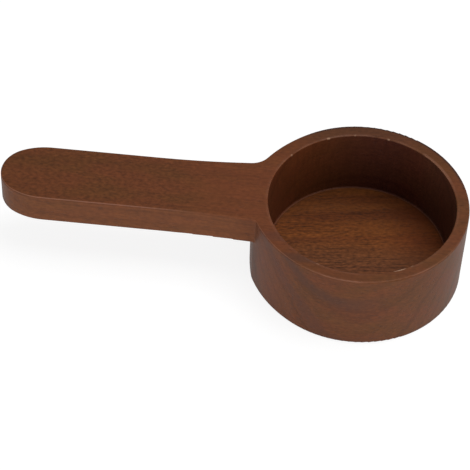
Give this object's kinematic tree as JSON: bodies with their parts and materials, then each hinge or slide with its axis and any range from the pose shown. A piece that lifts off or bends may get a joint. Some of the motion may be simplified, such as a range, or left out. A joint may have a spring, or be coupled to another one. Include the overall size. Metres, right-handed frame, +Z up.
{
  "type": "measuring scoop",
  "caption": "Small wooden measuring scoop: round flat-bottomed cup with a flat paddle handle level with its rim, for dry goods such as ground coffee.",
  "frame": {"origin": "centre of the cup's flat underside, on the surface that the scoop stands on", "axes": "+Z up out of the cup, the handle towards -X, +Y across the handle"},
  "size_m": [0.114, 0.052, 0.0223],
  "materials": {
    "board_wood": "dark red-brown stained hardwood, sanded, oiled to a soft satin",
    "floor_wood": "warmer brown hardwood with open dark pores, oiled to a soft satin"
  },
  "bodies": {
    "root": {"scoop_body": "board_wood", "floor_disc": "floor_wood"}
  },
  "joints": []
}
